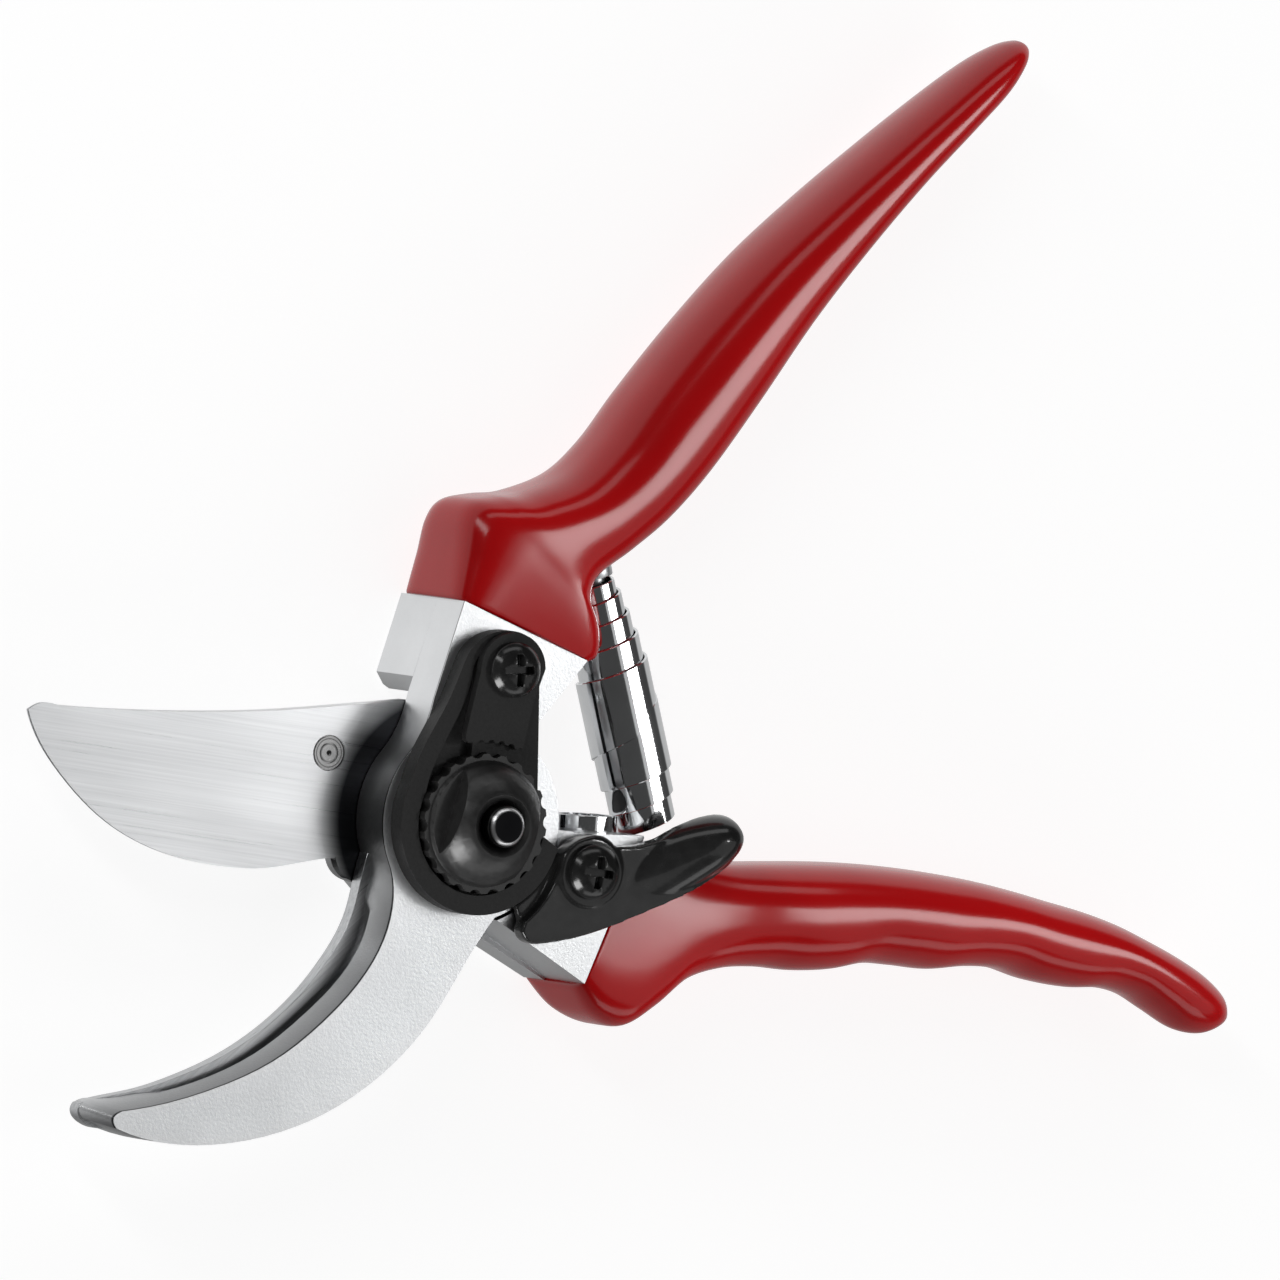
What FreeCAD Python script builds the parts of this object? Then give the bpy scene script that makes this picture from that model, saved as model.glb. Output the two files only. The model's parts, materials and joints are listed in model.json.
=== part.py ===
import FreeCAD, Part
import math
import os

# Bypass pruning shears lying flat, nut side up. All lengths are millimetres.
# Z is up and z = 0 is the plane the tool rests on; the pivot axis is the Z axis.
# Each half is drawn in its "shut" position: jaws towards -X, handles towards +X.
# The hook half is then turned by +HALF_OPEN and the blade half by -HALF_OPEN about Z.

# angles of the main pivot and of the safety latch, degrees
DRAWN_ANGLE = 47.5
HALF_OPEN = DRAWN_ANGLE / 2
COVER_TURN = -15.0
LATCH_ANGLE = 8.0

# levels along Z
MID_Z = 10.5
BACK_Z = 1.9
BACK_TOP_Z = 7.9
BLADE_TOP_Z = 11.1
FRONT_Z = 11.3
COUNTER_TOP_Z = 13.7
GROOVE_DEPTH = 1.9
GROOVE_HEIGHT = 1.5
BLOCK_BACK_Z = 0.8
FACE_Z = 19.1
PLATE_FLOOR_Z = 20.6
PLATE_RIM_Z = 22.1
UNDERCUT_Z = 20.9
SEGMENT_TOP_Z = 23.4

# pivot bolt, bush, washers and nut
HEAD_R = 9.0
HEAD_H = 2.6
COUNTERBORE_R = 9.4
COUNTERBORE_TOP_Z = 3.4
SHOULDER_R = 4.5
SHOULDER_TOP_Z = 20.5
THREAD_R = 3.0
BOLT_END_R = 2.3
BOLT_TOP_Z = 29.9
RUNNING_GAP = 0.05
BUSH_R = 6.0
WASHER_Z = 2.8
WASHER_R = 8.8
NUT_WASHER_TOP_Z = 20.9
NUT_WASHER_R = 7.0
NUT_R = 9.9
NUT_SCALLOP_R = 1.1
NUT_SCALLOP_DEPTH = 0.55
NUT_SCALLOPS = 22
NUT_RIM_TOP_Z = 23.2
NUT_TOP_Z = 28.2
NUT_FLAT = 6.2

# pivot discs of the two frames and of the black cover plate
DISC_R = 14.2
BLADE_DISC_R = 13.5
BLOCK_CLEAR_R = 14.7
BLOCK_INNER_R = 18.0
PLATE_R = 13.0
PLATE_POCKET_R = 10.2
PLATE_UNDERCUT_R = 11.4
PLATE_SIDE_X = 9.84
SEGMENT_SCREW = (4.0, 21.7)
SEGMENT_R = 5.2

# screws and rivets
SCREW_HEAD_R = 3.95
SCREW_HEAD_H = 2.4
SCREW_R = 2.0
CROSS_W = 1.1
CROSS_L = 4.6
CROSS_D = 1.7
BLADE_RIVET = (-19.9, 6.6)
BLADE_RIVET_R = 2.55
RIVET_RING_D = 0.3
BLADE_PIN_R = 1.2
BLADE_PIN_RADIUS = 11.7
COUNTER_RIVET_R = 1.5

# safety latch
LATCH_SCREW = (18.5, -4.4)
LATCH_Z = 19.5
LATCH_TOP_Z = 22.4
LATCH_BOSS_R = 5.0
LATCH_BOSS_TOP_Z = 22.8
LATCH_BORE_R = 2.06
LATCH_WASHER_R = 4.2
LATCH_WASHER_T = 0.3
THUMB_ROOT = 1.2
THUMB_DIRECTION = 36.0
TONGUE_TOP_Z = 20.6
TONGUE_CLEAR_R = 13.45
LATCH_CLEAR_R = 14.0

# spring and bumper
UPPER_SEAT = (39.6, 11.1)
LOWER_SEAT = (33.6, 2.2)
SPRING_BAND_T = 0.65
SPRING_LAP = 1.2
SPRING_RADII = [2.7, 3.3, 3.9, 4.5, 5.05, 5.6, 5.1, 4.6, 4.1]
SPRING_STEPS = [0.0, 0.065, 0.145, 0.225, 0.32, 0.425, 0.69, 0.79, 0.89, 1.0]
GRIP_FILL = 3
GRIP_WALL = 0.9
BUMPER = (23.3, 1.15)
BUMPER_R = 4.6
BUMPER_TILT = 5.9
BUMPER_TOP = 2.45
BUMPER_SUNK = 1.6


def vec(x, y, z=0.0):
    return FreeCAD.Vector(x, y, z)


def turned(shape, degrees, centre=(0.0, 0.0)):
    """A copy of the shape turned about the vertical line through centre."""
    out = shape.copy()
    out.rotate(vec(centre[0], centre[1]), vec(0, 0, 1), degrees)
    return out


def polar(radius, degrees):
    """Point at this radius and angle round the pivot."""
    angle = math.radians(degrees)
    return (radius * math.cos(angle), radius * math.sin(angle))


def outline(start, steps, z=0.0):
    """Closed face from a start point and line, arc and curve steps."""
    edges = []
    here = start
    for step in steps:
        kind = step[0]
        points = step[1:]
        places = [vec(here[0], here[1], z)] + [vec(p[0], p[1], z) for p in points]
        if kind == "line":
            edges.append(Part.makeLine(places[0], places[1]))
        elif kind == "arc":
            edges.append(Part.Arc(places[0], places[1], places[2]).toShape())
        else:
            curve = Part.BSplineCurve()
            curve.interpolate(places)
            edges.append(curve.toShape())
        here = points[-1]
    if math.hypot(here[0] - start[0], here[1] - start[1]) > 1e-6:
        edges.append(Part.makeLine(vec(here[0], here[1], z), vec(start[0], start[1], z)))
    return Part.Face(Part.Wire(edges))


def slab(start, steps, low, high):
    """Prism of an outline between two levels."""
    return outline(start, steps, low).extrude(vec(0, 0, high - low))


def disc(radius, low, high, centre=(0.0, 0.0)):
    """Upright cylinder between two levels."""
    return Part.makeCylinder(radius, high - low, vec(centre[0], centre[1], low))


def turned_profile(points, centre=(0.0, 0.0)):
    """Solid of revolution about the vertical line through centre from (r, z) points."""
    places = [vec(centre[0] + r, centre[1], z) for r, z in points]
    places.append(places[0])
    face = Part.Face(Part.makePolygon(places))
    return face.revolve(vec(centre[0], centre[1]), vec(0, 0, 1), 360)


def merged(shape):
    """The shape with split faces joined again, where the kernel can do it."""
    try:
        out = shape.removeSplitter()
    except Part.OCCError:
        return shape
    return out if out.isValid() else shape


def softened(shape, radius, test):
    """Fillets the edges for which test(edge) is true; leaves the shape as it is if that fails."""
    edges = [edge for edge in shape.Edges if test(edge)]
    if not edges:
        return shape
    try:
        out = shape.makeFillet(radius, edges)
    except Part.OCCError:
        return shape
    return out if out.isValid() and out.Volume > 0 else shape


def edges_at(level, reach=None):
    """Test for edges lying wholly in the plane z = level, within reach of the pivot if given."""
    def test(edge):
        box = edge.BoundBox
        flat = abs(box.ZMin - level) < 1e-4 and abs(box.ZMax - level) < 1e-4
        if reach is None:
            return flat
        return flat and reach(edge.CenterOfMass)
    return test


def ring_section(top, bottom, rise, drop, power):
    """Closed superellipse wire from bottom to top point, rising and dropping from the mid plane."""
    count = 24
    middle = vec((top[0] + bottom[0]) / 2, (top[1] + bottom[1]) / 2, MID_Z)
    across = vec((top[0] - bottom[0]) / 2, (top[1] - bottom[1]) / 2, 0)
    places = []
    for step in range(count):
        angle = 2 * math.pi * step / count
        c = math.cos(angle)
        s = math.sin(angle)
        u = math.copysign(abs(c) ** (2 / power), c)
        w = math.copysign(abs(s) ** (2 / power), s)
        places.append(middle + across * u + vec(0, 0, (rise if w > 0 else drop) * w))
    curve = Part.BSplineCurve()
    curve.interpolate(Points=places, PeriodicFlag=True)
    return Part.Wire([curve.toShape()])


def flattened(station):
    """A station's numbers in one list."""
    top, bottom, rise, drop, power = station
    return [top[0], top[1], bottom[0], bottom[1], rise, drop, power]


def between(before, first, second, after, share):
    """Smooth value a share of the way from first to second, guided by their neighbours."""
    slope_a = (second - before) / 2
    slope_b = (after - first) / 2
    a = 2 * share ** 3 - 3 * share ** 2 + 1
    b = share ** 3 - 2 * share ** 2 + share
    c = share ** 3 - share ** 2
    return a * first + b * slope_a + (1 - a) * second + c * slope_b


def inset_station(station, inset):
    """The same section made smaller all round."""
    top, bottom, rise, drop, power = station
    dx = top[0] - bottom[0]
    dy = top[1] - bottom[1]
    share = inset / math.hypot(dx, dy)
    new_top = (top[0] - dx * share, top[1] - dy * share)
    new_bottom = (bottom[0] + dx * share, bottom[1] + dy * share)
    return (new_top, new_bottom, rise - inset, drop - inset, power)


def trimmed_frame(frame, stations, beyond):
    """The frame with the part past the grip's lip kept a wall's thickness inside the grip."""
    kept = [inset_station(station, GRIP_WALL) for station in stations[:-4]]
    waste = beyond.cut(grip_body(kept))
    rest = frame.cut(waste)
    return sorted(rest.Solids, key=lambda solid: solid.Volume)[-1]


def grip_body(stations):
    """Solid through (top, bottom, rise, drop, power) sections, with sections filled in between."""
    rows = [flattened(station) for station in stations]
    last = len(rows) - 1
    filled = []
    for index in range(last):
        near = [rows[max(index - 1, 0)], rows[index], rows[index + 1], rows[min(index + 2, last)]]
        for part in range(GRIP_FILL):
            share = part / GRIP_FILL
            filled.append([between(*values, share) for values in zip(*near)])
    filled.append(rows[-1])
    wires = [ring_section((r[0], r[1]), (r[2], r[3]), r[4], r[5], r[6]) for r in filled]
    return Part.makeLoft(wires, True, True)


# ---- hook half, drawn shut ----

HOOK_INNER = [(-14.6, 1.6), (-17.3, -1.7), (-22.4, -4.9), (-28.7, -6.6), (-36.4, -7.1), (-44.1, -6.5),
              (-53.9, -3.6), (-62.0, 0.1), (-68.0, 3.7)]
HOOK_BASE = [(-15.1, 2.2), (-17.6, 0.4), (-22.1, -2.9), (-28.2, -4.9), (-36.0, -5.3), (-43.8, -4.8),
             (-53.6, -2.2), (-62.7, 2.2), (-68.9, 6.2)]
HOOK_OUTER = [(-66.8, -2.7), (-56.3, -11.7), (-44.2, -17.2), (-33.0, -19.0), (-22.5, -18.1), (-12.0, -14.9)]
HOOK_NOSE = (-71.1, 6.4)
HOOK_TIP = (-71.6, 5.0)
FACE_NOSE = (-69.8, 3.7)
FACE_TIP = (-70.2, 2.4)


def hook_outline_steps(inner, nose, tip):
    """Steps of the hook half's front layer, starting at the outer corner of its block."""
    return [
        ("line", (6.0, 17.6)),
        ("curve", (3.2, 15.75), (0.8, 14.7), polar(DISC_R, 97)),
        ("arc", polar(DISC_R, 130), polar(DISC_R, 164)),
        ("curve", *inner),
        ("curve", nose, tip),
        ("curve", *HOOK_OUTER, polar(DISC_R, -112)),
        ("arc", polar(DISC_R, -55), polar(DISC_R, 2)),
        ("curve", (14.9, 2.3), (17.3, 4.2)),
        ("line", (32.5, 6.6)),
        ("line", (36.0, 22.0)),
        ("line", (27.0, 30.8)),
    ]


def upper_tang():
    """Tapered bar running up inside the upper grip."""
    steps = [
        ("curve", (50.0, 22.6), (66.0, 24.9), (86.0, 27.7), (112.0, 28.5)),
        ("line", (112.0, 24.6)),
        ("curve", (86.0, 21.9), (66.0, 18.0), (50.0, 15.6), (34.0, 14.8)),
    ]
    return slab((34.0, 23.4), steps, MID_Z - 4.2, MID_Z + 4.2)


def upper_block():
    """Full-thickness block of the hook half, with the step the blade's spine stops against."""
    start = (27.0, 30.8)
    steps = [
        ("line", (8.4, 19.12)),
        ("line", (8.1, 17.0)),
        ("line", polar(BLOCK_INNER_R, 62)),
        ("arc", polar(BLOCK_INNER_R, 38), polar(BLOCK_INNER_R, 13.9)),
        ("line", (32.5, 6.6)),
        ("line", (36.0, 22.0)),
    ]
    return slab(start, steps, BLOCK_BACK_Z, FRONT_Z)


def counter_blade_blank(low, high):
    """Plate along the hook's concave edge."""
    start = (-13.4, 5.0)
    steps = [
        ("curve", (-16.1, 3.1), (-20.8, -0.3), (-27.5, -2.75), (-34.2, -3.85), (-42.0, -3.8), (-49.5, -2.5),
         (-56.0, -0.4), (-62.2, 2.3), (-67.6, 5.4), (-70.4, 6.8)),
        ("curve", (-71.6, 6.0), (-71.5, 3.9), (-70.5, 2.2)),
        ("curve", (-66.0, -1.9), (-58.0, -6.9), (-47.0, -11.6), (-35.0, -13.4),
         (-25.0, -12.2), (-16.0, -7.4),
         (-10.6, 0.4)),
    ]
    return slab(start, steps, low, high)


def counter_rivet_places():
    return [(-20.0, -5.6), (-38.0, -9.6), (-56.0, -4.6)]


def counter_blade_rivets():
    """Blind rivets holding the counter-blade, heads flush with its rubbing face."""
    rivets = []
    for place in counter_rivet_places():
        shank = disc(COUNTER_RIVET_R, FRONT_Z, FACE_Z - 2.6, place)
        head = turned_profile([(0, FRONT_Z), (2.3, FRONT_Z), (COUNTER_RIVET_R, FRONT_Z + 0.8),
                               (0, FRONT_Z + 0.8)], place)
        rivets.append(merged(shank.fuse(head)))
    return Part.makeCompound(rivets)


def counter_blade():
    blank = counter_blade_blank(FRONT_Z, COUNTER_TOP_Z)
    return blank.cut(counter_blade_rivets())


def hook_groove():
    """Undercut at the foot of the hook's inner wall, above the counter-blade, fading out at both ends."""
    edge = HOOK_BASE[1:-1]
    last = len(edge) - 1
    deep = []
    for index in range(last - 1, 0, -1):
        share = math.sin(math.pi * index / last)
        deep.append((edge[index][0], edge[index][1] - GROOVE_DEPTH * (0.35 + 0.65 * share)))
    steps = [
        ("curve", *edge[1:]),
        ("curve", *deep, edge[0]),
    ]
    return slab(edge[0], steps, COUNTER_TOP_Z, COUNTER_TOP_Z + GROOVE_HEIGHT)


def hook_frame():
    """Hook jaw, pivot disc, block and tang in one forging."""
    start = (27.0, 30.8)
    foot_steps = hook_outline_steps(HOOK_BASE, HOOK_NOSE, HOOK_TIP)
    base = outline(start, foot_steps, FRONT_Z)
    low = base.extrude(vec(0, 0, COUNTER_TOP_Z - FRONT_Z))
    foot = outline(start, foot_steps, COUNTER_TOP_Z)
    face = outline(start, hook_outline_steps(HOOK_INNER, FACE_NOSE, FACE_TIP), FACE_Z)
    high = Part.makeLoft([foot.OuterWire, face.OuterWire], True, True)
    body = low.fuse(high).fuse(upper_block()).fuse(upper_tang())
    body = body.cut(counter_blade_blank(FRONT_Z, COUNTER_TOP_Z))
    body = body.cut(counter_blade_rivets())
    body = sorted(body.cut(hook_groove()).Solids, key=lambda solid: solid.Volume)[-1]
    body = body.cut(disc(SHOULDER_R, FRONT_Z, FACE_Z))
    body = body.cut(upper_seat_stud_solid())
    body = body.cut(turned(disc(SCREW_R, FACE_Z - 8.0, FACE_Z, SEGMENT_SCREW), COVER_TURN - HALF_OPEN))
    return merged(body)


def upper_seat_axis():
    """Direction in which the upper spring peg points, in the hook half's shut frame."""
    return vec(math.cos(math.radians(-117)), math.sin(math.radians(-117)), 0)


def upper_seat_stud_solid():
    """Peg let into the tang, with the collar the spring's small end sits on."""
    axis = upper_seat_axis()
    seat = vec(UPPER_SEAT[0], UPPER_SEAT[1], MID_Z)
    peg = Part.makeCylinder(1.7, 9.5, seat - axis * 7.0, axis)
    collar = Part.makeCylinder(2.9, 1.6, seat - axis * 1.8, axis)
    return merged(peg.fuse(collar))


def upper_beyond():
    """Everything past the upper grip's lip."""
    steps = [("line", (28.9, 5.0)), ("line", (30.5, 2.0)), ("line", (160.0, 0.0)), ("line", (160.0, 60.0)),
             ("line", (15.5, 30.7))]
    return slab((18.0, 25.9), steps, -5.0, 30.0)


def upper_stations():
    """Boxy collar, waist, swelling palm and rounded end of the hook half's grip."""
    return [
        ((18.0, 25.9), (28.9, 5.0), 9.1, 10.0, 7.0),
        ((22.6, 29.7), (30.6, 4.3), 9.5, 10.1, 5.2),
        ((26.4, 33.0), (32.1, 5.0), 9.8, 10.2, 4.2),
        ((29.4, 33.9), (33.5, 6.9), 10.0, 10.3, 3.6),
        ((32.8, 32.2), (34.8, 10.6), 10.2, 10.4, 3.1),
        ((37.2, 29.2), (37.9, 12.6), 10.3, 10.4, 2.8),
        ((44.6, 26.5), (44.6, 11.9), 10.4, 10.4, 2.5),
        ((52.0, 26.6), (52.0, 11.5), 10.5, 10.5, 2.4),
        ((61.0, 28.5), (61.0, 12.4), 10.5, 10.5, 2.4),
        ((73.0, 30.5), (73.0, 14.9), 10.5, 10.5, 2.3),
        ((87.0, 31.8), (87.0, 18.4), 10.2, 10.2, 2.3),
        ((100.0, 31.8), (100.0, 20.7), 9.6, 9.6, 2.3),
        ((113.0, 31.3), (113.0, 22.2), 8.7, 8.7, 2.2),
        ((124.0, 30.6), (124.0, 22.9), 7.7, 7.7, 2.2),
        ((132.0, 29.9), (132.0, 23.3), 6.5, 6.5, 2.1),
        ((136.8, 28.9), (136.8, 24.2), 4.8, 4.8, 2.0),
        ((139.2, 27.8), (139.2, 25.2), 2.7, 2.7, 2.0),
        ((139.9, 26.9), (139.9, 26.2), 0.8, 0.8, 2.0),
    ]


def closed_grip_cut(body, frame):
    """Sleeve left after the frame is taken out of the moulded body, largest piece only."""
    rest = body.cut(frame)
    solids = sorted(rest.Solids, key=lambda solid: solid.Volume)
    return solids[-1]


# ---- cover plate, lock segment and nut, drawn in the cover plate's own frame ----

def cover_plate():
    """Teardrop plate round the pivot: sunk floor, raised rim, straight side and stop step."""
    start = (PLATE_SIDE_X, -1.9)
    end = (PLATE_SIDE_X, 20.0)
    steps = [
        ("line", end),
        ("curve", (9.2, 23.6), (6.9, 26.3), (3.0, 27.1), (-0.7, 25.9), (-3.1, 23.0)),
        ("curve", (-4.1, 20.7), (-5.4, 17.9), (-8.7, 12.4), polar(PLATE_R, 152)),
        ("arc", polar(PLATE_R, -128), polar(PLATE_R, -17.0)),
    ]
    body = slab(start, steps, FACE_Z, PLATE_RIM_Z)
    body = softened(body, 1.2, edges_at(PLATE_RIM_Z, lambda c: c.x < 6.0 or c.y > 22.0))
    pocket_start = (PLATE_SIDE_X + 1.0, -1.0)
    pocket_steps = [
        ("line", (PLATE_SIDE_X + 1.0, 18.0)),
        ("curve", (9.0, 23.0), (4.0, 25.5), (-0.3, 24.2), (-1.9, 21.0)),
        ("curve", (-3.1, 17.2), (-5.9, 12.0), polar(PLATE_POCKET_R, 152)),
        ("arc", polar(PLATE_POCKET_R, -128), polar(PLATE_POCKET_R, -14.0)),
    ]
    body = body.cut(slab(pocket_start, pocket_steps, PLATE_FLOOR_Z, PLATE_RIM_Z + 1))
    body = body.cut(plate_undercut())
    body = body.cut(disc(SHOULDER_R, FACE_Z, PLATE_RIM_Z))
    body = body.cut(disc(SCREW_R, FACE_Z, PLATE_RIM_Z, SEGMENT_SCREW))
    body = body.cut(lock_segment())
    return merged(body)


def plate_undercut():
    """Groove under the rim that the latch's tongue runs in; it ends at the lock step."""
    return ring_sector(PLATE_UNDERCUT_R, PLATE_R + 2, -92, -23, FACE_Z, UNDERCUT_Z)


def ring_sector(inner, outer, first, last, low, high):
    """Part of a ring between two angles."""
    middle = (first + last) / 2
    steps = [
        ("line", polar(outer, first)),
        ("arc", polar(outer, middle), polar(outer, last)),
        ("line", polar(inner, last)),
        ("arc", polar(inner, middle), polar(inner, first)),
    ]
    return slab(polar(inner, first), steps, low, high)


def nut_rim_solid(grow, low, high):
    """Scalloped disc; grow widens it for cutting a meshing edge."""
    rim = disc(NUT_R + grow, low, high)
    step = 360.0 / NUT_SCALLOPS
    radius = NUT_SCALLOP_R - grow
    reach = NUT_R - NUT_SCALLOP_DEPTH + NUT_SCALLOP_R
    cutters = []
    for index in range(NUT_SCALLOPS):
        place = polar(reach, index * step)
        cutters.append(disc(radius, low - 1, high + 1, place))
    return rim.cut(Part.makeCompound(cutters))


def lock_segment():
    """Tapered arm under the segment screw whose toothed foot meshes with the nut's rim."""
    boss = SEGMENT_SCREW
    start = (boss[0] - SEGMENT_R, boss[1])
    steps = [
        ("arc", (boss[0], boss[1] + SEGMENT_R), (boss[0] + SEGMENT_R, boss[1])),
        ("line", (7.4, 17.2)),
        ("line", (5.6, 9.9)),
        ("curve", (3.6, 10.9), (1.0, 11.4), (-1.4, 11.6)),
        ("curve", (-3.2, 11.7), (-3.4, 13.2)),
    ]
    upper = slab(start, steps, PLATE_RIM_Z, SEGMENT_TOP_Z)
    foot_steps = [
        ("arc", (boss[0], boss[1] + SEGMENT_R - 0.6), (boss[0] + SEGMENT_R - 0.6, boss[1])),
        ("line", (7.2, 17.2)),
        ("line", (4.6, 8.3)),
        ("line", (-1.9, 9.3)),
    ]
    foot = slab((boss[0] - SEGMENT_R + 0.6, boss[1]), foot_steps, PLATE_FLOOR_Z, PLATE_RIM_Z)
    cutters = []
    for index in range(6):
        place = polar(11.35, 62 + index * 8.2)
        cutters.append(disc(0.55, PLATE_RIM_Z, SEGMENT_TOP_Z + 1, place))
    body = upper.cut(Part.makeCompound(cutters)).fuse(foot)
    body = body.cut(nut_rim_solid(0.12, PLATE_FLOOR_Z - 1, SEGMENT_TOP_Z + 1))
    body = body.cut(disc(SCREW_R, PLATE_FLOOR_Z, SEGMENT_TOP_Z, boss))
    body = merged(body)
    return softened(body, 0.5, edges_at(SEGMENT_TOP_Z, lambda c: math.hypot(c.x - 4.0, c.y - 21.7) > 3.5))


def adjuster_nut():
    """Scalloped rim, domed crown with two flats, countersunk threaded bore."""
    rim = nut_rim_solid(0.0, NUT_WASHER_TOP_Z, NUT_RIM_TOP_Z)
    crown = turned_profile([
        (0, NUT_RIM_TOP_Z - 0.5), (9.0, NUT_RIM_TOP_Z - 0.5), (9.0, NUT_RIM_TOP_Z), (8.6, 24.6), (7.7, 26.0),
        (6.5, 27.1), (5.2, 27.9), (4.4, NUT_TOP_Z), (3.7, 27.9), (THREAD_R, 27.0), (0, 27.0),
    ])
    flat_low = NUT_RIM_TOP_Z + 0.8
    for side in (1, -1):
        block = Part.makeBox(30, 6, 8, vec(-15, NUT_FLAT if side > 0 else -NUT_FLAT - 6, flat_low))
        crown = crown.cut(turned(block, 72))
    body = rim.fuse(crown)
    body = body.cut(disc(THREAD_R, NUT_WASHER_TOP_Z - 1, NUT_TOP_Z + 1))
    return merged(body)


def nut_washer():
    ring = disc(NUT_WASHER_R, PLATE_FLOOR_Z, NUT_WASHER_TOP_Z)
    return ring.cut(disc(THREAD_R, PLATE_FLOOR_Z, NUT_WASHER_TOP_Z))


def pivot_bolt():
    """Shouldered bolt; the round head is the face the tool rests on."""
    return turned_profile([
        (0, 0), (HEAD_R - 0.4, 0), (HEAD_R, 0.4), (HEAD_R, HEAD_H), (SHOULDER_R, HEAD_H),
        (SHOULDER_R, SHOULDER_TOP_Z), (THREAD_R, SHOULDER_TOP_Z), (THREAD_R, BOLT_TOP_Z - 0.7),
        (BOLT_END_R, BOLT_TOP_Z), (0, BOLT_TOP_Z),
    ])


def cross_screw(place, head_z, tip_z):
    """Pan-head screw with a cross recess."""
    x, y = place
    dome = turned_profile([
        (0, head_z), (SCREW_HEAD_R - 0.25, head_z), (SCREW_HEAD_R, head_z + 0.3),
        (SCREW_HEAD_R - 0.05, head_z + 0.9), (SCREW_HEAD_R - 0.75, head_z + 1.6),
        (SCREW_HEAD_R - 1.9, head_z + 2.15), (0, head_z + SCREW_HEAD_H),
    ], place)
    shank = disc(SCREW_R, tip_z, head_z + 0.5, place)
    body = dome.fuse(shank)
    top = head_z + SCREW_HEAD_H
    arm_a = Part.makeBox(CROSS_L, CROSS_W, 4, vec(x - CROSS_L / 2, y - CROSS_W / 2, top - CROSS_D))
    arm_b = Part.makeBox(CROSS_W, CROSS_L, 4, vec(x - CROSS_W / 2, y - CROSS_L / 2, top - CROSS_D))
    return merged(body.cut(arm_a.fuse(arm_b)))


# ---- blade half, drawn shut ----

def blade_plan_steps(tip, edge):
    """Steps of the blade's plan from the tip along the spine, round the pivot and back on the edge."""
    return [
        ("curve", (tip[0] + 0.9, tip[1] + 0.7), (-64.0, 7.4)),
        ("curve", (-56.7, 7.9), (-43.7, 9.25), (-30.8, 11.1), (-20.0, 13.2), (-8.2, 15.7)),
        ("curve", (-4.6, 15.0), polar(BLADE_DISC_R, 88)),
        ("arc", polar(BLADE_DISC_R, -20), polar(BLADE_DISC_R, -128)),
        ("curve", (-11.4, -10.9), (-13.5, -10.6), (-16.3, -7.8)),
        ("curve", *edge),
    ]


def blade_holes():
    holes = [disc(BUSH_R, BACK_Z, BLADE_TOP_Z)]
    holes.append(disc(BLADE_RIVET_R, BACK_Z, BLADE_TOP_Z, BLADE_RIVET))
    for place in blade_pin_places():
        holes.append(disc(BLADE_PIN_R, BACK_Z, BLADE_TOP_Z, place))
    return Part.makeCompound(holes)


def blade_pin_places():
    return [polar(BLADE_PIN_RADIUS, 75), polar(BLADE_PIN_RADIUS, -75)]


def cutting_blade():
    """Curved blade; its back face is ground away towards the edge."""
    tip = (-68.9, 6.2)
    start_low = (-66.8, 6.6)
    sharp = [(-20.6, -8.9), (-26.9, -10.7), (-35.7, -11.5), (-44.6, -10.7), (-54.0, -7.6), (-62.0, -2.2),
             (-66.6, 2.4), tip]
    ground = [(-21.2, -5.2), (-26.9, -5.6), (-35.7, -6.0), (-44.6, -5.4), (-53.0, -3.0), (-61.0, 1.6),
              (-65.0, 4.6), start_low]
    low = outline(start_low, blade_plan_steps(start_low, ground), BACK_TOP_Z)
    high = outline(tip, blade_plan_steps(tip, sharp), BLADE_TOP_Z - 0.6)
    wedge = Part.makeLoft([low.OuterWire, high.OuterWire], True, True)
    land = high.extrude(vec(0, 0, 0.6))
    body = merged(wedge.fuse(land))
    return body.cut(blade_holes())


def lower_block_steps():
    """Steps of the blade half's raised block from the foot of its straight outer wall."""
    return [
        ("arc", polar(BLOCK_CLEAR_R, -36), polar(BLOCK_CLEAR_R, -2)),
        ("curve", (15.0, 0.3), (17.2, 0.65)),
        ("line", (28.1, 1.78)),
        ("line", (29.6, -0.7)),
        ("line", (33.0, -3.4)),
        ("line", (35.0, -14.0)),
        ("line", (29.0, -23.2)),
    ]


def lower_tang():
    """Tapered bar running inside the lower grip."""
    steps = [
        ("curve", (50.0, -2.6), (70.0, -0.9), (90.0, -1.0), (108.0, -2.6)),
        ("line", (108.0, -6.8)),
        ("curve", (90.0, -5.6), (70.0, -6.9), (50.0, -9.6), (33.0, -12.0)),
    ]
    return slab((33.0, -3.4), steps, MID_Z - 4.2, MID_Z + 4.2)


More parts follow.
